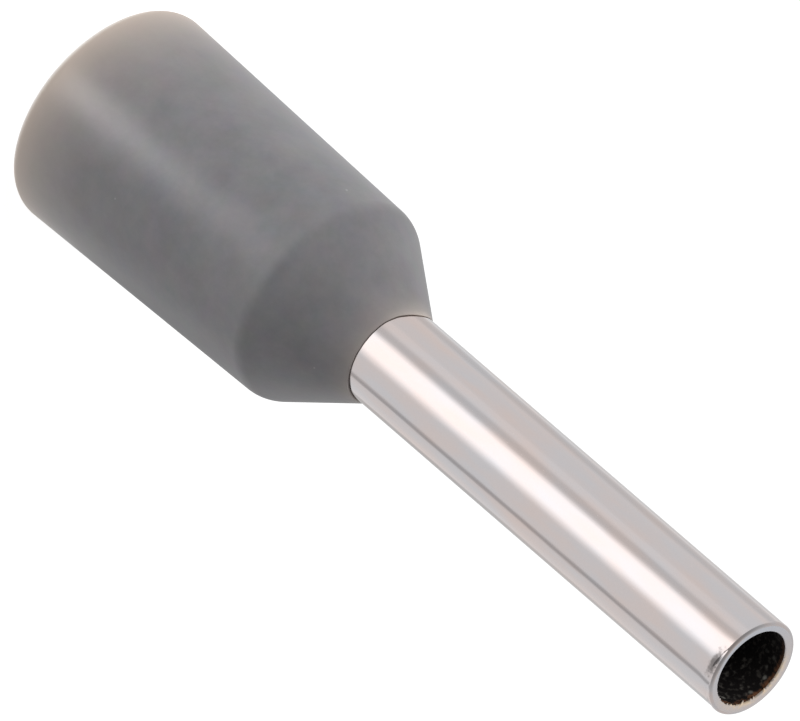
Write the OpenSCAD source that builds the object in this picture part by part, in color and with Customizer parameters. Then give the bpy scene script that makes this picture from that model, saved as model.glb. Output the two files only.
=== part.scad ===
// Insulated wire ferrule: a tinned copper barrel, flared inside a moulded polypropylene collar.
// All lengths are in millimetres. The ferrule stands on the collar's mouth, which lies on z = 0,
// and the barrel runs up the z axis to its cut tip.

/* [Barrel] */
// Bore of the barrel, which takes the bared strands
barrel_bore_d = 1.20; // [1.00:0.05:1.60]
// Wall of the barrel, copper and tin together
barrel_wall = 0.16; // [0.12:0.01:0.22]
// Length of the barrel that stands out of the collar
barrel_l = 7.95; // [6.00:0.05:12.00]
// Rounding of the outer edge at the cut tip
tip_round = 0.05; // [0.01:0.01:0.08]
// Rounding of the inner edge at the cut tip
tip_bore_round = 0.02; // [0.01:0.01:0.03]
// Radius that the flare's outer face is bent to where it leaves the straight barrel
flare_bend_r = 0.30; // [0.10:0.05:0.50]
// Clearance between the flare's rim and the wire bore
flare_clearance = 0.03; // [0.01:0.01:0.10]

/* [Collar] */
// Length of the collar from its mouth to its lip on the barrel
collar_l = 6.35; // [5.50:0.05:9.00]
// Bore of the collar, which takes the wire's insulation
wire_bore_d = 2.80; // [2.40:0.05:3.60]
// Wall at the mouth, before its edges are rounded
mouth_wall = 0.38; // [0.25:0.01:0.50]
// Wall at the shoulder, before its edge is rounded
shoulder_wall = 0.25; // [0.20:0.01:0.45]
// Length of the cone from the shoulder to the lip
cone_l = 1.35; // [1.00:0.05:2.00]
// Wall of the cone, measured square to its face
cone_wall = 0.33; // [0.25:0.01:0.40]
// Wall of the lip where the cone ends on the barrel
lip_wall = 0.04; // [0.04:0.01:0.15]

/* [Edges of the collar] */
// Rounding of the mouth's outer edge, as far as the wall has room for it
mouth_round = 0.20; // [0.05:0.01:0.30]
// Rounding of the mouth's inner edge
mouth_bore_round = 0.03; // [0.01:0.01:0.05]
// Rounding of the shoulder
shoulder_round = 0.40; // [0.10:0.05:0.80]
// Rounding of each edge of the lip
lip_round = 0.015; // [0.005:0.005:0.015]

/* [Hidden] */
$fn = 96;
ARC_STEPS = 10; // chords in each rounded corner
MIN_RIM_LAND = 0.04; // least flat that the roundings leave on the mouth's rim

// Radii of the barrel and the collar
bore_r = barrel_bore_d / 2;
barrel_r = bore_r + barrel_wall;
wire_bore_r = wire_bore_d / 2;
mouth_r = wire_bore_r + mouth_wall;
shoulder_r = wire_bore_r + shoulder_wall;
lip_r = barrel_r + lip_wall;
mouth_edge_r = min(mouth_round, mouth_wall - mouth_bore_round - MIN_RIM_LAND);

// Heights above the mouth
shoulder_z = collar_l - cone_l;
tip_z = collar_l + barrel_l;

// Angle between the cone's faces and the axis, shared by the collar's seat and the flare
cone_angle = atan((shoulder_r - lip_r) / cone_l);

// Height at which a face lying depth behind the cone's outer face reaches radius r
function cone_z(r, depth) =
    shoulder_z + (shoulder_r - depth / cos(cone_angle) - r) / tan(cone_angle);

// The seat is the cone's inner face, and the flare's outer face lies on it
seat_neck_z = cone_z(barrel_r, cone_wall);
seat_rim_z = cone_z(wire_bore_r, cone_wall);

// The flare's rim, cut square to its wall
flare_depth = cone_wall + barrel_wall;
flare_rim_r = wire_bore_r - flare_clearance;
flare_rim_z = cone_z(flare_rim_r, cone_wall);
flare_lip_r = flare_rim_r - barrel_wall * cos(cone_angle);
flare_lip_z = cone_z(flare_lip_r, flare_depth);
flare_neck_z = cone_z(bore_r, flare_depth);

// Points of the arc of radius r that rounds corner b of the path a, b, c
function rounded(a, b, c, r) =
    let (
        to_a = (a - b) / norm(a - b),
        to_c = (c - b) / norm(c - b),
        half_angle = acos(to_a * to_c) / 2,
        centre = b + (to_a + to_c) / norm(to_a + to_c) * r / sin(half_angle),
        first = b + to_a * r / tan(half_angle) - centre,
        sweep = 180 - 2 * half_angle,
        turn = cross(to_a, to_c) > 0 ? -1 : 1
    )
    [
        for (i = [0:ARC_STEPS])
        let (angle = turn * sweep * i / ARC_STEPS)
        centre + [
            first.x * cos(angle) - first.y * sin(angle),
            first.x * sin(angle) + first.y * cos(angle)
        ]
    ];

// Points of a closed path whose corners are given as [point, radius]; radius 0 keeps a corner sharp
function rounded_path(corners) =
    let (n = len(corners))
    [
        for (i = [0:n - 1])
        let (
            before = corners[(i + n - 1) % n][0],
            here = corners[i][0],
            after = corners[(i + 1) % n][0],
            r = corners[i][1]
        )
        each (r > 0 ? rounded(before, here, after, r) : [here])
    ];

// Section of the collar: outer face, lip, neck round the barrel, seat for the flare and wire bore
function collar_section() = rounded_path([
    [[mouth_r, 0], mouth_edge_r],
    [[shoulder_r, shoulder_z], shoulder_round],
    [[lip_r, collar_l], lip_round],
    [[barrel_r, collar_l], lip_round],
    [[barrel_r, seat_neck_z], flare_bend_r],
    [[wire_bore_r, seat_rim_z], 0],
    [[wire_bore_r, 0], mouth_bore_round],
]);

// Section of the barrel: straight tube, and the flare that leads the strands in
function barrel_section() = rounded_path([
    [[barrel_r, tip_z], tip_round],
    [[bore_r, tip_z], tip_bore_round],
    [[bore_r, flare_neck_z], flare_bend_r + barrel_wall],
    [[flare_lip_r, flare_lip_z], 0],
    [[flare_rim_r, flare_rim_z], 0],
    [[barrel_r, seat_neck_z], flare_bend_r],
]);

// Insulating collar, moulded in grey polypropylene
module collar() {
    color("#7f7e81")
        rotate_extrude()
            polygon(collar_section());
}

// Barrel of tinned copper, drawn in one piece with its flare
module barrel() {
    color("#c9c7c6")
        rotate_extrude()
            polygon(barrel_section());
}

collar();
barrel();
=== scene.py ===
"""Insulated wire ferrule: a tin-plated copper barrel, flared inside a moulded polypropylene collar.

The ferrule stands on the collar's mouth, which lies on z = 0, and the barrel runs up the z axis to its
cut tip. Sizes are in millimetres until a mesh is made, and every mesh is in metres. An angle round the
axis is a turn in degrees, from the front (-Y) towards +X.
"""

import logging
import math
from collections.abc import Callable, Iterator
from dataclasses import dataclass, field
from enum import IntEnum

import bpy
from mathutils import Matrix, Vector, noise


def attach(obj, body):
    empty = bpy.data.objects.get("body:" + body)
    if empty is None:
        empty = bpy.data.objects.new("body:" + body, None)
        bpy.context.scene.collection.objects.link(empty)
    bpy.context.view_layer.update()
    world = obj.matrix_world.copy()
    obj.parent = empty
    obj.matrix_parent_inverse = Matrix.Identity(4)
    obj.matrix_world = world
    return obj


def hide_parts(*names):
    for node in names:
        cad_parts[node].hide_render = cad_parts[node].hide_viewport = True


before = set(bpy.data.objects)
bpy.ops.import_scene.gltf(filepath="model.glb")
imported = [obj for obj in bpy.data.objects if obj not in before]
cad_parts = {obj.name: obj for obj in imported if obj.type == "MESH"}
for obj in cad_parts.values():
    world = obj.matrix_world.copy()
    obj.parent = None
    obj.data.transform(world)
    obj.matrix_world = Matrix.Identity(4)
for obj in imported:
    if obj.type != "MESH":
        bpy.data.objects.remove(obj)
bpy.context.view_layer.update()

MM = 0.001
LOG = logging.getLogger("ferrule")

# Sockets of the Mix node when it mixes colours
MIX_A = 6
MIX_B = 7
MIX_RESULT = 2

Rgba = tuple[float, float, float, float]
Wear = Callable[[float, float, float], tuple[float, float]]


def linear(hex_colour: str) -> Rgba:
    """Turns an sRGB hex colour into the linear one that a shader takes.

    Args:
        hex_colour: the colour as "#rrggbb".

    Returns:
        Red, green and blue in linear light, and an alpha of 1.
    """
    channels = [int(hex_colour[i : i + 2], 16) / 255 for i in (1, 3, 5)]
    red, green, blue = (c / 12.92 if c <= 0.04045 else ((c + 0.055) / 1.055) ** 2.4 for c in channels)
    return (red, green, blue, 1.0)


def smooth(value: float, low: float, high: float) -> float:
    """Rises smoothly from 0 at low to 1 at high.

    Args:
        value: where to look.
        low: the end that gives 0.
        high: the end that gives 1.

    Returns:
        A share from 0 to 1.
    """
    share = min(1.0, max(0.0, (value - low) / (high - low)))
    return share * share * (3 - 2 * share)


def bell(turn: float, centre: float, half: float) -> float:
    """Gives a soft bump round the axis.

    Args:
        turn: where to look, in degrees.
        centre: where the bump is highest.
        half: how far from its centre it has fallen to a third.

    Returns:
        A share from 0 to 1.
    """
    off = (turn - centre + 180) % 360 - 180
    return math.exp(-((off / half) ** 2))


def ragged(turn: float, lobes: float, seed: float) -> float:
    """Gives an uneven line round the axis.

    Args:
        turn: where to look, in degrees.
        lobes: how fine it is, in bumps for each radian.
        seed: tells one line from another.

    Returns:
        A height from about -1 to 1.
    """
    angle = math.radians(turn)
    return noise.noise(Vector((math.cos(angle) * lobes, math.sin(angle) * lobes, seed)))


def node(
    tree: bpy.types.NodeTree, kind: str, inputs: dict[int | str, object] | None = None, **settings: object
) -> bpy.types.Node:
    """Adds a node with its settings, and fills or links its inputs.

    Args:
        tree: the node tree that gets the node.
        kind: the node's type name.
        inputs: what each input holds, by its name or number: a value, or the socket that feeds it.
        settings: the node's own properties.

    Returns:
        The new node.
    """
    made = tree.nodes.new(kind)
    for name, value in settings.items():
        setattr(made, name, value)
    for key, value in (inputs or {}).items():
        if isinstance(value, bpy.types.NodeSocket):
            tree.links.new(value, made.inputs[key])
        else:
            made.inputs[key].default_value = value
    return made


def new_material(name: str) -> tuple[bpy.types.Material, bpy.types.NodeTree, bpy.types.NodeSocket]:
    """Makes an empty node material.

    Args:
        name: the material's name.

    Returns:
        The material, its node tree and the surface socket of its output.
    """
    made = bpy.data.materials.new(name)
    made.use_nodes = True
    made.node_tree.nodes.clear()
    output = node(made.node_tree, "ShaderNodeOutputMaterial")
    return made, made.node_tree, output.inputs["Surface"]


def place_in_mm(tree: bpy.types.NodeTree) -> bpy.types.NodeSocket:
    """Gives the place on the object in millimetres, so that a pattern's scale is one over its size."""
    place = node(tree, "ShaderNodeTexCoord").outputs["Object"]
    return node(tree, "ShaderNodeVectorMath", {0: place, "Scale": 1 / MM}, operation="SCALE").outputs[0]


@dataclass(frozen=True)
class Corner:
    """A corner of a section, and the stretch of the section that leads on from it."""

    r: float
    z: float
    rounding: float = 0.0
    zone: int = 0
    pitch: float = 0.1

    def at(self) -> Vector:
        """Gives the corner as a point of the section."""
        return Vector((self.r, self.z))


@dataclass(frozen=True)
class Section:
    """A closed section that is turned about the z axis into a mesh."""

    corners: tuple[Corner, ...]
    arc_steps: int = 12
    turns: int = 288
    edge_land: float = 0.012

    def rounded(self, before: Vector, corner: Corner, after: Vector) -> list[Vector]:
        """Rounds a corner off.

        Args:
            before: the corner before it.
            corner: the corner to round.
            after: the corner after it.

        Returns:
            The points of the arc, or the corner alone where it stays sharp.
        """
        here = corner.at()
        if corner.rounding <= 0:
            return [here]
        to_before = (before - here).normalized()
        to_after = (after - here).normalized()
        half = math.acos(to_before.dot(to_after)) / 2
        centre = here + (to_before + to_after).normalized() * corner.rounding / math.sin(half)
        first = here + to_before * corner.rounding / math.tan(half) - centre
        turn = -1 if to_before.x * to_after.y - to_before.y * to_after.x > 0 else 1
        sweep = turn * (math.pi - 2 * half)
        step = sweep / self.arc_steps
        return [centre + Matrix.Rotation(step * i, 2) @ first for i in range(self.arc_steps + 1)]

    def stretch(self, start: Vector, end: Vector, pitch: float) -> Iterator[Vector]:
        """Sets rings along a straight stretch, with one close to each end to keep its shading flat.

        Args:
            start: where the stretch starts.
            end: where it ends.
            pitch: the widest gap between rings.

        Yields:
            The points between start and end.
        """
        length = (end - start).length
        if length < 4 * self.edge_land:
            return
        along = (end - start) / length
        yield start + along * self.edge_land
        gaps = math.ceil((length - 2 * self.edge_land) / pitch)
        for i in range(1, gaps):
            yield start + along * (self.edge_land + (length - 2 * self.edge_land) * i / gaps)
        yield end - along * self.edge_land

    def rings(self) -> list[tuple[float, float, int]]:
        """Gives the radius, height and zone of each ring, in order round the section."""
        count = len(self.corners)
        arcs = [
            self.rounded(self.corners[i - 1].at(), corner, self.corners[(i + 1) % count].at())
            for i, corner in enumerate(self.corners)
        ]
        made = []
        for i, corner in enumerate(self.corners):
            points = arcs[i] + list(self.stretch(arcs[i][-1], arcs[(i + 1) % count][0], corner.pitch))
            made += [(point.x, point.y, corner.zone) for point in points]
        return made

    def turned(self, name: str, wear: Wear) -> bpy.types.Object:
        """Turns the section about the z axis.

        Args:
            name: the name of the piece.
            wear: gives the change of radius and height at a turn, radius and height.

        Returns:
            The piece, with the zones of the section as its material slots.
        """
        rings = self.rings()
        verts = []
        for r, z, _zone in rings:
            for k in range(self.turns):
                turn = 360 * k / self.turns
                out, up = wear(turn, r, z)
                angle = math.radians(turn)
                verts.append(
                    ((r + out) * math.sin(angle) * MM, -(r + out) * math.cos(angle) * MM, (z + up) * MM)
                )
        faces = []
        zones = []
        for i, (_r, _z, zone) in enumerate(rings):
            low = i * self.turns
            high = (i + 1) % len(rings) * self.turns
            for k in range(self.turns):
                on = (k + 1) % self.turns
                faces.append((low + k, low + on, high + on, high + k))
                zones.append(zone)
        mesh = bpy.data.meshes.new(name)
        mesh.from_pydata(verts, [], faces)
        mesh.polygons.foreach_set("material_index", zones)
        mesh.shade_smooth()
        mesh.set_sharp_from_angle(angle=math.radians(38))
        mesh.validate()
        piece = bpy.data.objects.new(name, mesh)
        bpy.context.scene.collection.objects.link(piece)
        return piece


@dataclass(frozen=True)
class MouldedPolypropylene:
    """Grey polypropylene, injection moulded in a fine spark-eroded mould.

    That gives an even satin grey with a soft sheen, faint clouds from the flow of the melt and a few pale
    grains of pigment. Light is painted into the colour: a warm pale glow at the mouth and the lip, for light
    through the thin wall and off the barrel, and near-white on the rim's near side.
    """

    body: str = "#757478"
    cloud: str = "#858386"
    # Painted light: the next two colours are glows painted in at the mouth, the lip and the rim's near side
    painted_mouth_glow: str = "#dccabb"
    painted_rim_glow: str = "#fffcf8"
    grain: str = "#a9a7a9"
    painted_glow_depth: float = 0.50
    lip_z: float = 6.45
    painted_lip_glow_share: float = 0.45
    painted_lip_glow_depth: float = 0.16
    cloud_size: float = 0.9
    tint_size: float = 0.35
    tint: float = 0.04
    grain_gap: float = 0.45
    grain_reach: float = 0.055
    grain_blur: float = 0.03
    # Painted light: the heights and depths where the rim's near side is painted near-white
    painted_rim_glow_heights: tuple[float, float] = (0.03, 0.17)
    painted_glow_near_side: tuple[float, float] = (-1.45, -0.6)
    grit_height: float = 0.004
    ior: float = 1.49
    mould_grit: float = 0.05  # about 0.01 mm on the real mould, drawn coarser so that it shows

    def material(self) -> bpy.types.Material:
        """Builds the material."""
        made, tree, surface = new_material("moulded_polypropylene")
        place = place_in_mm(tree)
        height = node(tree, "ShaderNodeSeparateXYZ", {0: place}).outputs["Z"]
        flow = node(
            tree,
            "ShaderNodeTexNoise",
            {"Vector": place, "Scale": 1 / self.cloud_size, "Detail": 8.0, "Roughness": 0.68},
        ).outputs["Fac"]
        clouds = node(
            tree, "ShaderNodeMapRange", {"Value": flow, "From Min": 0.34, "From Max": 0.66}
        ).outputs[0]
        tints = node(
            tree,
            "ShaderNodeTexNoise",
            {"Vector": place, "Scale": 1 / self.tint_size, "Detail": 4.0, "Roughness": 0.6},
        ).outputs["Color"]
        grit = node(
            tree, "ShaderNodeTexNoise", {"Vector": place, "Scale": 1 / self.mould_grit, "Detail": 2.0}
        ).outputs["Fac"]
        grey = node(
            tree,
            "ShaderNodeMix",
            {0: clouds, MIX_A: linear(self.body), MIX_B: linear(self.cloud)},
            data_type="RGBA",
        ).outputs[MIX_RESULT]
        body = node(
            tree, "ShaderNodeMix", {0: self.tint, MIX_A: grey, MIX_B: tints}, data_type="RGBA"
        ).outputs[MIX_RESULT]
        # Pale pigment grains of uneven size, in a bit more than every other cell
        grains = node(tree, "ShaderNodeTexVoronoi", {"Vector": place, "Scale": 1 / self.grain_gap})
        size = node(tree, "ShaderNodeSeparateColor", {0: grains.outputs["Color"]}).outputs[0]
        reach = node(
            tree, "ShaderNodeMapRange", {"Value": size, "From Min": 0.4, "To Max": self.grain_reach}
        ).outputs[0]
        inside = node(
            tree, "ShaderNodeMath", {0: reach, 1: grains.outputs["Distance"]}, operation="SUBTRACT"
        ).outputs[0]
        near = node(
            tree, "ShaderNodeMapRange", {"Value": inside, "From Max": self.grain_blur, "To Max": 0.8}
        ).outputs[0]
        grained = node(
            tree,
            "ShaderNodeMix",
            {0: near, MIX_A: body, MIX_B: linear(self.grain)},
            data_type="RGBA",
        ).outputs[MIX_RESULT]
        # Painted light: a warm pale glow painted up from the mouth, for light through the thin wall, and
        # down from the lip, for light off the barrel
        fall = node(
            tree, "ShaderNodeMath", {0: height, 1: -1 / self.painted_glow_depth}, operation="MULTIPLY"
        ).outputs[0]
        mouth = node(tree, "ShaderNodeMath", {0: fall}, operation="EXPONENT").outputs[0]
        climb = node(
            tree,
            "ShaderNodeMapRange",
            {
                "Value": height,
                "From Min": self.lip_z - self.painted_lip_glow_depth,
                "From Max": self.lip_z,
                "To Min": -1.0,
                "To Max": 0.0,
            },
            clamp=False,
        ).outputs[0]
        edge = node(tree, "ShaderNodeMath", {0: climb}, operation="EXPONENT").outputs[0]
        lip = node(tree, "ShaderNodeMath", {0: edge, 1: self.painted_lip_glow_share}, operation="MULTIPLY").outputs[0]
        lit = node(tree, "ShaderNodeMath", {0: mouth, 1: lip}, operation="ADD").outputs[0]
        colour = node(
            tree,
            "ShaderNodeMix",
            {0: lit, MIX_A: grained, MIX_B: linear(self.painted_mouth_glow)},
            data_type="RGBA",
            clamp_factor=True,
        ).outputs[MIX_RESULT]
        # Painted light: the rim's near side is painted near-white, for the light that comes straight through
        # it
        rim = node(
            tree,
            "ShaderNodeMapRange",
            {
                "Value": height,
                "From Min": self.painted_rim_glow_heights[0],
                "From Max": self.painted_rim_glow_heights[1],
                "To Min": 1.0,
                "To Max": 0.0,
            },
            interpolation_type="SMOOTHSTEP",
        ).outputs[0]
        depth = node(tree, "ShaderNodeSeparateXYZ", {0: place}).outputs["Y"]
        near_side = node(
            tree,
            "ShaderNodeMapRange",
            {
                "Value": depth,
                "From Min": self.painted_glow_near_side[0],
                "From Max": self.painted_glow_near_side[1],
                "To Min": 1.0,
                "To Max": 0.0,
            },
            interpolation_type="SMOOTHSTEP",
        ).outputs[0]
        through = node(tree, "ShaderNodeMath", {0: rim, 1: near_side}, operation="MULTIPLY").outputs[0]
        colour = node(
            tree,
            "ShaderNodeMix",
            {0: through, MIX_A: colour, MIX_B: linear(self.painted_rim_glow)},
            data_type="RGBA",
        ).outputs[MIX_RESULT]
        bump = node(
            tree, "ShaderNodeBump", {"Strength": 0.25, "Distance": self.grit_height * MM, "Height": grit}
        ).outputs[0]
        sheen = node(
            tree,
            "ShaderNodeMapRange",
            {"Value": clouds, "To Min": 0.38, "To Max": 0.46},
        ).outputs[0]
        shader = node(
            tree,
            "ShaderNodeBsdfPrincipled",
            {"Base Color": colour, "Roughness": sheen, "IOR": self.ior, "Normal": bump},
        ).outputs[0]
        tree.links.new(shader, surface)
        return made


@dataclass(frozen=True)
class TinPlate:
    """Bright tin, plated on drawn copper tube.

    That gives a nearly mirror-like, slightly warm pale grey, with hair-fine draw lines along the tube
    that soften what it reflects, and faint warm and cool clouds in the plating.
    """

    warm: str = "#c8bbb7"
    cool: str = "#c0bdbf"
    smudge: str = "#75706f"
    smudge_turn: float = 22.0
    smudge_r: float = 0.75
    smudge_z: float = 14.19
    smudge_squeeze: tuple[float, float, float] = (4.0, 4.0, 13.0)
    smudge_grain: float = 0.06
    roughness: float = 0.12
    line_gap: float = 0.03  # about 0.005 mm on the real tube, drawn coarser so that they show
    line_run: float = 4.0
    line_height: float = 0.0006
    cloud_size: float = 0.35
    wave_height: float = 0.003

    def material(self) -> bpy.types.Material:
        """Builds the material."""
        made, tree, surface = new_material("tin_plate")
        place = place_in_mm(tree)
        along = node(
            tree,
            "ShaderNodeVectorMath",
            {0: place, 1: (1 / self.line_gap, 1 / self.line_gap, 1 / self.line_run)},
            operation="MULTIPLY",
        ).outputs[0]
        lines = node(
            tree, "ShaderNodeTexNoise", {"Vector": along, "Scale": 1.0, "Detail": 3.0}
        ).outputs["Fac"]
        drawn_out = node(
            tree,
            "ShaderNodeVectorMath",
            {0: place, 1: (1 / self.cloud_size, 1 / self.cloud_size, 0.25 / self.cloud_size)},
            operation="MULTIPLY",
        ).outputs[0]
        clouds = node(
            tree, "ShaderNodeTexNoise", {"Vector": drawn_out, "Scale": 1.0, "Detail": 2.0}
        ).outputs["Fac"]
        patches = node(
            tree, "ShaderNodeMapRange", {"Value": clouds, "From Min": 0.35, "From Max": 0.65}
        ).outputs[0]
        tone = node(
            tree,
            "ShaderNodeMix",
            {0: patches, MIX_A: linear(self.warm), MIX_B: linear(self.cool)},
            data_type="RGBA",
        ).outputs[MIX_RESULT]
        # A darker patch painted near the tip, over the dent and the folds
        turn = math.radians(self.smudge_turn)
        offset = node(
            tree,
            "ShaderNodeVectorMath",
            {0: place, 1: (self.smudge_r * math.sin(turn), -self.smudge_r * math.cos(turn), self.smudge_z)},
            operation="SUBTRACT",
        ).outputs[0]
        squeezed = node(
            tree, "ShaderNodeVectorMath", {0: offset, 1: self.smudge_squeeze}, operation="MULTIPLY"
        ).outputs[0]
        away = node(tree, "ShaderNodeVectorMath", {0: squeezed}, operation="LENGTH").outputs["Value"]
        specks = node(
            tree, "ShaderNodeTexNoise", {"Vector": place, "Scale": 1 / self.smudge_grain, "Detail": 4.0}
        ).outputs["Fac"]
        blurred = node(
            tree, "ShaderNodeMath", {0: specks, 1: -1.6, 2: away}, operation="MULTIPLY_ADD"
        ).outputs[0]
        smudged = node(
            tree,
            "ShaderNodeMapRange",
            {"Value": blurred, "From Min": -0.5, "From Max": 0.35, "To Min": 0.9, "To Max": 0.0},
            interpolation_type="SMOOTHSTEP",
        ).outputs[0]
        tone = node(
            tree,
            "ShaderNodeMix",
            {0: smudged, MIX_A: tone, MIX_B: linear(self.smudge)},
            data_type="RGBA",
        ).outputs[MIX_RESULT]
        waves = node(
            tree, "ShaderNodeBump", {"Strength": 1.0, "Distance": self.wave_height * MM, "Height": clouds}
        ).outputs[0]
        bump = node(
            tree,
            "ShaderNodeBump",
            {"Strength": 0.3, "Distance": self.line_height * MM, "Height": lines, "Normal": waves},
        ).outputs[0]
        shader = node(
            tree,
            "ShaderNodeBsdfPrincipled",
            {"Base Color": tone, "Metallic": 1.0, "Roughness": self.roughness, "Normal": bump},
        ).outputs[0]
        tree.links.new(shader, surface)
        return made


@dataclass(frozen=True)
class CutEdge:
    """The tube's wall where it was cut off: tin dragged over copper.

    That gives a dull, slightly cool grey, with copper showing through along the inner edge; the copper is
    painted paler than copper, for the painted glints on the burr.
    """

    tin: str = "#c8cad1"
    worn_tin: str = "#d2cac8"
    # Partly painted highlight: real exposed copper, painted paler for the bright glints on the burr
    copper: str = "#f0d9bd"
    roughness: float = 0.34
    bare_turn: float = 155.0
    bare_radii: tuple[float, float] = (0.60, 0.70)
    fleck_size: float = 0.09
    torn_height: float = 0.006

    def material(self) -> bpy.types.Material:
        """Builds the material."""
        made, tree, surface = new_material("cut_tin_edge")
        place = place_in_mm(tree)
        flecks = node(
            tree, "ShaderNodeTexNoise", {"Vector": place, "Scale": 1 / self.fleck_size, "Detail": 3.0}
        ).outputs["Fac"]
        flat = node(
            tree, "ShaderNodeVectorMath", {0: place, 1: (1.0, 1.0, 0.0)}, operation="MULTIPLY"
        ).outputs[0]
        radius = node(tree, "ShaderNodeVectorMath", {0: flat}, operation="LENGTH").outputs["Value"]
        inner = node(
            tree,
            "ShaderNodeMapRange",
            {
                "Value": radius,
                "From Min": self.bare_radii[0],
                "From Max": self.bare_radii[1],
                "To Min": 1.0,
                "To Max": 0.0,
            },
        ).outputs[0]
        turn = math.radians(self.bare_turn)
        bare_side = node(
            tree,
            "ShaderNodeVectorMath",
            {0: place, 1: (math.sin(turn), -math.cos(turn), 0.0)},
            operation="DOT_PRODUCT",
        ).outputs["Value"]
        side = node(
            tree,
            "ShaderNodeMapRange",
            {"Value": bare_side, "From Min": 0.05, "From Max": 0.55},
            interpolation_type="SMOOTHSTEP",
        ).outputs[0]
        patch = node(
            tree,
            "ShaderNodeMapRange",
            {"Value": flecks, "From Min": 0.42, "From Max": 0.60, "To Min": 0.25, "To Max": 1.3},
        ).outputs[0]
        bare = node(tree, "ShaderNodeMath", {0: inner, 1: side}, operation="MULTIPLY").outputs[0]
        shown = node(tree, "ShaderNodeMath", {0: bare, 1: patch}, operation="MULTIPLY").outputs[0]
        turned = node(
            tree,
            "ShaderNodeMapRange",
            {"Value": bare_side, "From Min": -0.55, "From Max": 0.30},
        ).outputs[0]
        tin = node(
            tree,
            "ShaderNodeMix",
            {0: turned, MIX_A: linear(self.tin), MIX_B: linear(self.worn_tin)},
            data_type="RGBA",
        ).outputs[MIX_RESULT]
        tone = node(
            tree,
            "ShaderNodeMix",
            {0: shown, MIX_A: tin, MIX_B: linear(self.copper)},
            data_type="RGBA",
            clamp_factor=True,
        ).outputs[MIX_RESULT]
        torn = node(
            tree, "ShaderNodeBump", {"Strength": 0.5, "Distance": self.torn_height * MM, "Height": flecks}
        ).outputs[0]
        shader = node(
            tree,
            "ShaderNodeBsdfPrincipled",
            {"Base Color": tone, "Metallic": 1.0, "Roughness": self.roughness, "Normal": torn},
        ).outputs[0]
        tree.links.new(shader, surface)
        return made


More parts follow.
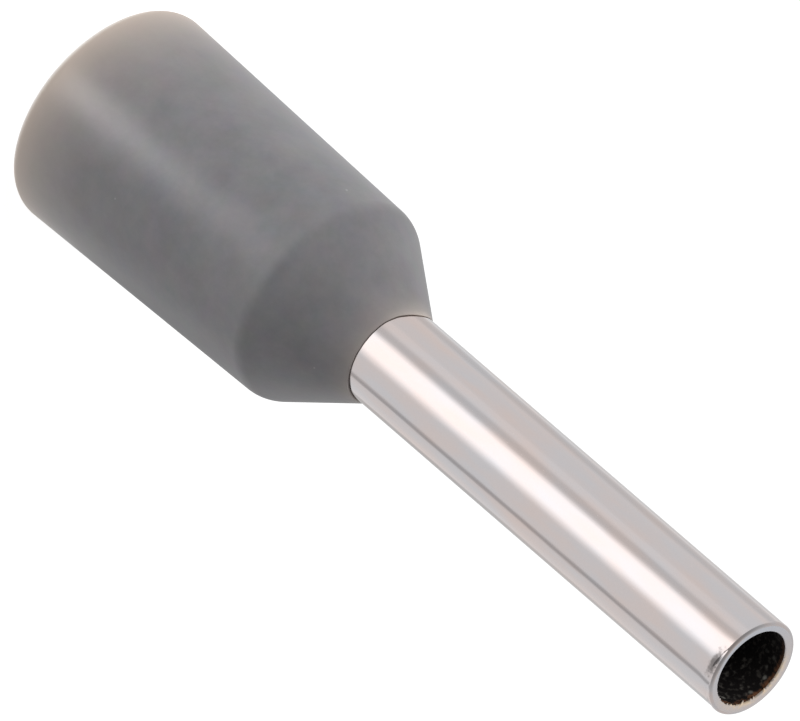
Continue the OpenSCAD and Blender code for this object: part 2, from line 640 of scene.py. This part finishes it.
@dataclass(frozen=True)
class PaintedShadeStainedBore:
    """The bore near the tip, painted near-black for its shade, with brown oxide at the cut.

    The near-black is painted shade: the real bore is bright tin, dark only from the shade deep inside it.
    Over it lie a ragged brown edge of oxide at the cut and a few pale flakes of tin.
    """

    # Painted shade: the near-black and its paler patches stand in for the shade deep in the bore, whose real
    # tin is bright
    film: str = "#1f1c1c"
    paler_painted_shade: str = "#8a857e"
    edge: str = "#7d5237"
    flake: str = "#d0cfc6"
    tip_z: float = 14.30
    edge_turn: float = 150.0
    flake_gap: float = 0.15
    cloud_size: float = 0.07
    edge_run: float = 0.05
    edge_depths: tuple[float, float] = (0.085, 0.02)

    def material(self) -> bpy.types.Material:
        """Builds the material."""
        made, tree, surface = new_material("painted_shade_stained_bore")
        place = place_in_mm(tree)
        clouds = node(
            tree, "ShaderNodeTexNoise", {"Vector": place, "Scale": 1 / self.cloud_size, "Detail": 4.0}
        ).outputs["Fac"]
        # Painted shade: the bore is painted near-black with paler patches, for the shade deep inside it
        paler_shade_patches = node(
            tree,
            "ShaderNodeMapRange",
            {"Value": clouds, "From Min": 0.52, "From Max": 0.90},
        ).outputs[0]
        film = node(
            tree,
            "ShaderNodeMix",
            {0: paler_shade_patches, MIX_A: linear(self.film), MIX_B: linear(self.paler_painted_shade)},
            data_type="RGBA",
        ).outputs[MIX_RESULT]
        # Brown oxide along the cut, which runs down unevenly on the far side
        height = node(tree, "ShaderNodeSeparateXYZ", {0: place}).outputs["Z"]
        turn = math.radians(self.edge_turn)
        side = node(
            tree,
            "ShaderNodeVectorMath",
            {0: place, 1: (math.sin(turn), -math.cos(turn), 0.0)},
            operation="DOT_PRODUCT",
        ).outputs["Value"]
        runs = node(
            tree,
            "ShaderNodeMapRange",
            {
                "Value": clouds,
                "From Min": 0.3,
                "From Max": 0.7,
                "To Min": -self.edge_run,
                "To Max": self.edge_run,
            },
        ).outputs[0]
        uneven = node(tree, "ShaderNodeMath", {0: height, 1: runs}, operation="ADD").outputs[0]
        near_cut = node(
            tree,
            "ShaderNodeMapRange",
            {
                "Value": uneven,
                "From Min": self.tip_z - self.edge_depths[0],
                "From Max": self.tip_z - self.edge_depths[1],
            },
        ).outputs[0]
        far = node(
            tree,
            "ShaderNodeMapRange",
            {"Value": side, "From Min": -0.2, "From Max": 0.3},
        ).outputs[0]
        brown = node(tree, "ShaderNodeMath", {0: near_cut, 1: far}, operation="MULTIPLY").outputs[0]
        shade_and_stain = node(
            tree,
            "ShaderNodeMix",
            {0: brown, MIX_A: film, MIX_B: linear(self.edge)},
            data_type="RGBA",
        ).outputs[MIX_RESULT]
        # A few pale flakes of tin over the painted shade
        cells = node(
            tree, "ShaderNodeTexVoronoi", {"Vector": place, "Scale": 1 / self.flake_gap}
        )
        spot = node(
            tree,
            "ShaderNodeMapRange",
            {
                "Value": cells.outputs["Distance"],
                "From Min": 0.10,
                "From Max": 0.30,
                "To Min": 1.0,
                "To Max": 0.0,
            },
        ).outputs[0]
        pick = node(tree, "ShaderNodeSeparateColor", {0: cells.outputs["Color"]}).outputs[0]
        kept = node(
            tree,
            "ShaderNodeMapRange",
            {"Value": pick, "From Min": 0.55, "From Max": 0.85, "To Max": 0.9},
        ).outputs[0]
        across = node(tree, "ShaderNodeSeparateXYZ", {0: place}).outputs["X"]
        low_side = node(
            tree,
            "ShaderNodeMapRange",
            {"Value": across, "From Min": -0.35, "From Max": 0.35, "To Min": 0.15},
        ).outputs[0]
        strewn = node(tree, "ShaderNodeMath", {0: kept, 1: low_side}, operation="MULTIPLY").outputs[0]
        shown = node(tree, "ShaderNodeMath", {0: spot, 1: strewn}, operation="MULTIPLY").outputs[0]
        tone = node(
            tree,
            "ShaderNodeMix",
            {0: shown, MIX_A: shade_and_stain, MIX_B: linear(self.flake)},
            data_type="RGBA",
        ).outputs[MIX_RESULT]
        shader = node(
            tree,
            "ShaderNodeBsdfPrincipled",
            {"Base Color": tone, "Roughness": 0.5},
        ).outputs[0]
        tree.links.new(shader, surface)
        return made


@dataclass(frozen=True)
class Swell:
    """A place round the axis where a wall stands out, or in where the height is negative."""

    turn: float
    half: float
    height: float

    def at(self, turn: float) -> float:
        """Gives how far the wall stands out at a turn."""
        return self.height * bell(turn, self.turn, self.half)


@dataclass(frozen=True)
class Fold:
    """A shallow crease that runs round part of the tip, with a low ridge under it."""

    turn: float
    half: float
    below: float
    depth: float
    lean: float = 0.0022
    width: float = 0.014
    ridge: float = 0.25
    ridge_below: float = 0.035
    ridge_width: float = 0.02

    def at(self, turn: float, below: float) -> float:
        """Gives the crease's depth.

        Args:
            turn: where to look, in degrees.
            below: how far under the tip.

        Returns:
            How far the wall goes in; negative on the ridge.
        """
        off = (turn - self.turn + 180) % 360 - 180
        middle = self.below + self.lean * off
        groove = math.exp(-(((below - middle) / self.width) ** 2))
        ridge = math.exp(-(((below - middle - self.ridge_below) / self.ridge_width) ** 2))
        return self.depth * bell(turn, self.turn, self.half) * (groove - self.ridge * ridge)


@dataclass
class Ferrule:
    """The sizes that the collar and the barrel share."""

    bore_r: float = 0.60
    barrel_r: float = 0.76
    wire_bore_r: float = 1.40
    mouth_r: float = 1.78
    shoulder_r: float = 1.65
    lip_r: float = 0.80
    shoulder_z: float = 5.00
    lip_z: float = 6.35
    tip_z: float = 14.30
    cone_wall: float = 0.33
    flare_bend: float = 0.30

    def cone_angle(self) -> float:
        """Gives the angle between the cone's faces and the axis."""
        return math.atan((self.shoulder_r - self.lip_r) / (self.lip_z - self.shoulder_z))

    def cone_z(self, r: float, depth: float) -> float:
        """Gives the height at which a face lying depth behind the cone's outer face has radius r."""
        angle = self.cone_angle()
        return self.shoulder_z + (self.shoulder_r - depth / math.cos(angle) - r) / math.tan(angle)


@dataclass
class Collar:
    """The insulating collar: wire entry, taper, shoulder, cone and lip, with the seat for the flare."""

    sizes: Ferrule
    mouth_round: float = 0.20
    mouth_bore_round: float = 0.03
    shoulder_round: float = 0.40
    lip_round: float = 0.015
    lip_reach: float = 0.30
    lip_rise: float = 0.030
    lip_creep: Swell = Swell(-72, 30, 0.12)
    lip_waver: float = 0.006
    lip_film: float = 0.008
    lip_films: tuple[Swell, ...] = (Swell(-42, 30, 0.012), Swell(62, 22, 0.020))
    finish: MouldedPolypropylene = field(default_factory=MouldedPolypropylene)

    def wear(self, turn: float, r: float, z: float) -> tuple[float, float]:
        """Thins the lip to the film of plastic that crept up the barrel, further on one side.

        Args:
            turn: the place's turn round the axis.
            r: its radius.
            z: its height.

        Returns:
            The change of its radius and its height.
        """
        s = self.sizes
        if z < s.lip_z - self.lip_reach or r <= s.barrel_r:
            return 0.0, 0.0
        slope = math.tan(s.cone_angle())
        rise = self.lip_rise + self.lip_creep.at(turn) + self.lip_waver * ragged(turn, 5.0, 3.0)
        up = rise * smooth(z, s.lip_z - self.lip_reach, s.lip_z)
        film = self.lip_film + sum(swell.at(turn) for swell in self.lip_films)
        wall = s.lip_r + (s.lip_z - z) * slope - s.barrel_r
        slim = max(film, wall - up * slope)
        return (r - s.barrel_r) * (slim / wall - 1), up

    def build(self) -> bpy.types.Object:
        """Builds and dresses the collar, and sets it in the frame."""
        s = self.sizes
        section = Section(
            (
                Corner(s.mouth_r, 0, self.mouth_round),
                Corner(s.shoulder_r, s.shoulder_z, self.shoulder_round),
                Corner(s.lip_r, s.lip_z, self.lip_round),
                Corner(s.barrel_r, s.lip_z, self.lip_round, pitch=0.5),
                Corner(s.barrel_r, s.cone_z(s.barrel_r, s.cone_wall), s.flare_bend, pitch=0.5),
                Corner(s.wire_bore_r, s.cone_z(s.wire_bore_r, s.cone_wall), pitch=0.5),
                Corner(s.wire_bore_r, 0, self.mouth_bore_round),
            )
        )
        piece = section.turned("collar_moulding", self.wear)
        piece.data.materials.append(self.finish.material())
        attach(piece, "root")
        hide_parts("collar")
        return piece


class BarrelZone(IntEnum):
    """The finishes of the barrel, in the order of its material slots."""

    PLATE = 0
    CUT = 1
    BORE = 2


@dataclass
class Barrel:
    """The tinned tube: cut tip, straight barrel and, inside the collar, the flare."""

    sizes: Ferrule
    wall: float = 0.16
    tip_round: float = 0.05
    tip_bore_round: float = 0.02
    flare_clearance: float = 0.03
    worn_length: float = 0.45
    burr: float = 0.14
    bore_shift: float = 0.012
    bore_shift_turn: float = 25.0
    bore_bell: float = 0.014
    pushed: tuple[Swell, ...] = (Swell(180, 100, 0.008), Swell(120, 50, 0.018))
    dented: tuple[Swell, ...] = (Swell(-10, 60, -0.006), Swell(22, 16, -0.026))
    folds: tuple[Fold, ...] = (
        Fold(20, 7, 0.070, 0.012),
        Fold(6, 6, 0.045, 0.006),
        Fold(62, 16, 0.090, 0.003),
        Fold(-63, 3, 0.390, 0.004),
    )
    plate: TinPlate = field(default_factory=TinPlate)
    cut: CutEdge = field(default_factory=CutEdge)
    bore_shade_and_stain: PaintedShadeStainedBore = field(default_factory=PaintedShadeStainedBore)

    def section(self) -> Section:
        """Gives the barrel's section, from the tip's outer edge round through the bore and the flare."""
        s = self.sizes
        depth = s.cone_wall + self.wall
        rim_r = s.wire_bore_r - self.flare_clearance
        lip_r = rim_r - self.wall * math.cos(s.cone_angle())
        return Section(
            (
                Corner(s.barrel_r, s.tip_z, self.tip_round),
                Corner(s.barrel_r - self.tip_round - 0.002, s.tip_z, 0, BarrelZone.CUT, 0.01),
                Corner(s.bore_r, s.tip_z, self.tip_bore_round, BarrelZone.CUT),
                Corner(s.bore_r, s.tip_z - self.tip_bore_round - 0.004, 0, BarrelZone.BORE, 0.02),
                Corner(s.bore_r, s.tip_z - 0.4, 0, BarrelZone.BORE),
                Corner(s.bore_r, s.cone_z(s.bore_r, depth), s.flare_bend + self.wall, BarrelZone.PLATE, 0.5),
                Corner(lip_r, s.cone_z(lip_r, depth), pitch=0.5),
                Corner(rim_r, s.cone_z(rim_r, s.cone_wall), pitch=0.5),
                Corner(s.barrel_r, s.cone_z(s.barrel_r, s.cone_wall), s.flare_bend),
                Corner(s.barrel_r, s.tip_z - self.worn_length, pitch=0.012),
            )
        )

    def wear(self, turn: float, r: float, z: float) -> tuple[float, float]:
        """Gives what cutting to length did to the tip.

        The shears pressed the near side in a little and left two small folds there, and on the far side
        they pushed the wall out and left a ragged burr along the bore's edge.

        Args:
            turn: the place's turn round the axis.
            r: its radius.
            z: its height.

        Returns:
            The change of its radius and its height.
        """
        s = self.sizes
        below = s.tip_z - z
        if below > self.worn_length:
            return 0.0, 0.0
        outside = smooth(r, s.bore_r + 0.04, s.barrel_r - 0.04)
        inside = 1 - outside
        pushed = sum(swell.at(turn) for swell in self.pushed) * smooth(-below, -0.10, 0.0)
        dented = sum(swell.at(turn) for swell in self.dented) * smooth(-below, -0.26, 0.0)
        creased = sum(fold.at(turn, below) for fold in self.folds)
        off = math.radians(turn - self.bore_shift_turn)
        shift = self.bore_shift * math.cos(off) * smooth(-below, -0.40, 0.0)
        belled = self.bore_bell * smooth(-below, -0.07, 0.0)
        tears = max(0.0, ragged(turn, 13.0, 7.0) + 0.5 * ragged(turn, 31.0, 2.0))
        burr = self.burr * tears * bell(turn, 145, 55) * smooth(-below, -0.05, -0.005)
        out = outside * (pushed + dented - creased) + inside * (shift + belled - burr)
        return out, 0.0

    def build(self) -> bpy.types.Object:
        """Builds and dresses the barrel, and sets it in the frame."""
        piece = self.section().turned("barrel_tube", self.wear)
        for finish in (self.plate, self.cut, self.bore_shade_and_stain):
            piece.data.materials.append(finish.material())
        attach(piece, "root")
        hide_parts("barrel")
        return piece


@dataclass(frozen=True)
class Card:
    """A strip light or a gap between lights that lies round the ferrule and shows only in its gloss."""

    name: str
    turn: float
    half: float
    feather: tuple[float, float]
    radiance: float
    inner: float = 9.0
    outer: float = 450.0
    fade: tuple[float, float] = (0.3, 0.3)

    def cover(self, turn: float) -> float:
        """Gives how much of the floor the card hides at a turn, from 0 to 1."""
        off = turn - self.turn
        low = smooth(off, -self.half - self.feather[0], -self.half)
        return low * smooth(-off, -self.half - self.feather[1], -self.half)

    def material(self) -> bpy.types.Material:
        """Builds the card's light, which fades out at its edges."""
        made, tree, surface = new_material(f"{self.name}_light")
        cover = node(tree, "ShaderNodeAttribute", attribute_name="cover").outputs["Fac"]
        light = node(tree, "ShaderNodeEmission", {"Strength": self.radiance}).outputs[0]
        clear = node(tree, "ShaderNodeBsdfTransparent").outputs[0]
        mixed = node(tree, "ShaderNodeMixShader", {0: cover, 1: clear, 2: light}).outputs[0]
        tree.links.new(mixed, surface)
        made.cycles.emission_sampling = "NONE"
        return made

    def build(self, height: float) -> bpy.types.Object:
        """Builds the card as a fan round the axis.

        Args:
            height: how far over the floor it lies.

        Returns:
            The card.
        """
        first = self.turn - self.half - self.feather[0]
        last = self.turn + self.half + self.feather[1]
        steps = math.ceil(last - first)
        rows = (
            (self.inner, 0),
            (self.inner + self.fade[0], 1),
            (self.outer - self.fade[1], 1),
            (self.outer, 0),
        )
        verts = []
        covers = []
        for i in range(steps + 1):
            turn = first + (last - first) * i / steps
            angle = math.radians(turn)
            for r, share in rows:
                verts.append((r * math.sin(angle) * MM, -r * math.cos(angle) * MM, height * MM))
                covers.append(share * self.cover(turn))
        count = len(rows)
        faces = [
            (count * i + j, count * i + j + 1, count * i + count + j + 1, count * i + count + j)
            for i in range(steps)
            for j in range(count - 1)
        ]
        mesh = bpy.data.meshes.new(self.name)
        mesh.from_pydata(verts, [], faces)
        mesh.attributes.new("cover", "FLOAT", "POINT").data.foreach_set("value", covers)
        mesh.materials.append(self.material())
        card = bpy.data.objects.new(self.name, mesh)
        bpy.context.scene.collection.objects.link(card)
        for ray in ("camera", "diffuse", "transmission", "volume_scatter", "shadow"):
            setattr(card, f"visible_{ray}", False)
        return card


@dataclass
class Studio:
    """The plain pale floor, the soft light and what the bright metal reflects."""

    floor_half: float = 600.0
    paper: float = 0.40
    seen_glow: float = 0.88
    glow_dim: float = 0.55
    glow_bright: float = 0.82
    glow_span: float = 8.0
    gloss_front: float = 0.45
    gloss_back: float = 1.0
    world_low: float = 0.24
    world_high: float = 0.90
    bright_from: tuple[float, float, float] = (-0.7, 0.65, -0.2)
    backdrop_towards: tuple[float, float, float] = (0.0, 0.834, -0.551)
    key_radiance: float = 2.6
    key_size: float = 200.0
    key_place: tuple[float, float, float] = (-230.0, -125.0, 195.0)
    cards: tuple[Card, ...] = (
        Card("near_strip", 2, 3, (10, 12), 7.2, 1.95, 8.4, (1.0, 2.8)),
        Card("near_shade", 155, 20, (25, 15), 0.45, 2.4, 9.0, (0.8, 1.0)),
        Card("strip_light", 4.25, 12.75, (14.5, 24), 1.88),
        Card("light_gap", -29, 3, (7, 8), 0.84),
        Card("tent_glow", -48, 5, (7, 7), 1.08),
        Card("tent_seam", 88, 1.4, (8, 6), 0.56),
        Card("tent_fold", -126, 5, (16, 16), 0.81),
        Card("far_edge_right", 160, 11, (12, 9), 0.72),
        Card("far_edge_shade", 158, 12, (12, 9), 0.62, outer=21.0, fade=(0.5, 8.0)),
        Card("far_edge_left", -166, 14, (10, 6), 0.78),
    )

    def floor(self) -> bpy.types.Object:
        """Builds the floor, a sheet of white acrylic lit from below, with the ferrule's soft shadow."""
        made, tree, surface = new_material("lit_white_acrylic")
        path = node(tree, "ShaderNodeLightPath").outputs
        place = node(tree, "ShaderNodeNewGeometry").outputs["Position"]
        across = node(tree, "ShaderNodeSeparateXYZ", {0: place}).outputs["X"]
        glow = node(
            tree,
            "ShaderNodeMapRange",
            {
                "Value": across,
                "From Min": -self.glow_span * MM,
                "From Max": self.glow_span * MM,
                "To Min": self.glow_bright,
                "To Max": self.glow_dim,
            },
            interpolation_type="SMOOTHSTEP",
        ).outputs[0]
        seen = node(
            tree, "ShaderNodeMix", {0: path["Is Camera Ray"], 2: glow, 3: self.seen_glow}, data_type="FLOAT"
        ).outputs[0]
        lit = node(tree, "ShaderNodeEmission", {"Strength": seen}).outputs[0]
        paper = node(
            tree, "ShaderNodeBsdfDiffuse", {"Color": (self.paper, self.paper, self.paper, 1.0)}
        ).outputs[0]
        sheet = node(tree, "ShaderNodeAddShader", {0: lit, 1: paper}).outputs[0]
        white = node(tree, "ShaderNodeEmission", {"Strength": 1.0}).outputs[0]
        mirrored = node(
            tree,
            "ShaderNodeMath",
            {0: path["Is Glossy Ray"], 1: path["Is Transmission Ray"]},
            operation="MAXIMUM",
        ).outputs[0]
        shader = node(tree, "ShaderNodeMixShader", {0: mirrored, 1: sheet, 2: white}).outputs[0]
        tree.links.new(shader, surface)
        half = self.floor_half * MM
        mesh = bpy.data.meshes.new("floor")
        mesh.from_pydata(
            [(-half, -half, 0), (half, -half, 0), (half, half, 0), (-half, half, 0)], [], [(0, 1, 2, 3)]
        )
        mesh.materials.append(made)
        floor = bpy.data.objects.new("floor", mesh)
        bpy.context.scene.collection.objects.link(floor)
        return floor

    def world(self) -> None:
        """Lights the scene softly from all round, with the side behind the camera left dimmer."""
        world = bpy.data.worlds.new("studio")
        world.use_nodes = True
        tree = world.node_tree
        tree.nodes.clear()
        aim = Vector(self.bright_from).normalized()
        direction = node(tree, "ShaderNodeTexCoord").outputs["Generated"]
        facing = node(
            tree, "ShaderNodeVectorMath", {0: direction, 1: tuple(aim)}, operation="DOT_PRODUCT"
        ).outputs["Value"]
        level = node(
            tree,
            "ShaderNodeMapRange",
            {
                "Value": facing,
                "From Min": -1.0,
                "From Max": 1.0,
                "To Min": self.world_low,
                "To Max": self.world_high,
            },
            interpolation_type="SMOOTHSTEP",
        ).outputs[0]
        path = node(tree, "ShaderNodeLightPath").outputs
        soft = node(tree, "ShaderNodeBackground", {"Strength": level}).outputs[0]
        behind = node(
            tree,
            "ShaderNodeVectorMath",
            {0: direction, 1: self.backdrop_towards},
            operation="DOT_PRODUCT",
        ).outputs["Value"]
        backdrop = node(
            tree,
            "ShaderNodeMapRange",
            {
                "Value": behind,
                "From Min": -1.0,
                "From Max": 0.4,
                "To Min": self.gloss_front,
                "To Max": self.gloss_back,
            },
            interpolation_type="SMOOTHSTEP",
        ).outputs[0]
        gloss = node(tree, "ShaderNodeBackground", {"Strength": backdrop}).outputs[0]
        white = node(tree, "ShaderNodeBackground", {"Strength": 1.0}).outputs[0]
        mirrored = node(
            tree, "ShaderNodeMixShader", {0: path["Is Glossy Ray"], 1: soft, 2: gloss}
        ).outputs[0]
        unlit = node(
            tree,
            "ShaderNodeMath",
            {0: path["Is Camera Ray"], 1: path["Is Transmission Ray"]},
            operation="MAXIMUM",
        ).outputs[0]
        mixed = node(tree, "ShaderNodeMixShader", {0: unlit, 1: mirrored, 2: white}).outputs[0]
        output = node(tree, "ShaderNodeOutputWorld")
        tree.links.new(mixed, output.inputs["Surface"])
        bpy.context.scene.world = world

    def key(self) -> bpy.types.Object:
        """Sets the soft key panel, aimed at the middle of the ferrule."""
        lamp = bpy.data.lights.new("key_panel", "AREA")
        lamp.size = self.key_size * MM
        lamp.energy = self.key_radiance * math.pi * lamp.size**2
        panel = bpy.data.objects.new("key_panel", lamp)
        place = Vector(self.key_place) * MM
        panel.location = place
        aim = Vector((0, 0, 7 * MM)) - place
        panel.rotation_euler = aim.to_track_quat("-Z", "Y").to_euler()
        panel.visible_glossy = False
        bpy.context.scene.collection.objects.link(panel)
        return panel

    def build(self) -> None:
        """Sets up the whole studio."""
        self.floor()
        for i, card in enumerate(self.cards):
            card.build(0.02 + 0.01 * i)
        self.world()
        self.key()


@dataclass
class Camera:
    """A long lens that looks down on the ferrule, turned so that the barrel runs to the lower right."""

    target: tuple[float, float, float] = (-0.0438, 0.0, 6.5297)
    distance: float = 373.0
    elevation: float = 33.454
    roll: float = 130.790
    lens: float = 1198.617

    def build(self) -> bpy.types.Object:
        """Sets the camera and makes it the scene's."""
        data = bpy.data.cameras.new("camera")
        data.sensor_width = 36
        data.lens = self.lens
        data.clip_start = 20 * MM
        data.clip_end = 3000 * MM
        camera = bpy.data.objects.new("camera", data)
        tilt = math.radians(self.elevation)
        forward = Vector((0, math.cos(tilt), -math.sin(tilt)))
        camera.location = (Vector(self.target) - forward * self.distance) * MM
        level = forward.to_track_quat("-Z", "Y").to_matrix()
        camera.rotation_euler = (level @ Matrix.Rotation(math.radians(self.roll), 3, "Z")).to_euler()
        bpy.context.scene.collection.objects.link(camera)
        bpy.context.scene.camera = camera
        return camera


def main() -> None:
    """Builds the ferrule and its studio."""
    logging.basicConfig(level=logging.INFO, format="%(message)s")
    sizes = Ferrule()
    for piece in (Collar(sizes).build(), Barrel(sizes).build()):
        LOG.info("%s: %d faces", piece.name, len(piece.data.polygons))
    Studio().build()
    Camera().build()
    bpy.context.scene.view_settings.view_transform = "Standard"


if __name__ == "__main__":
    main()
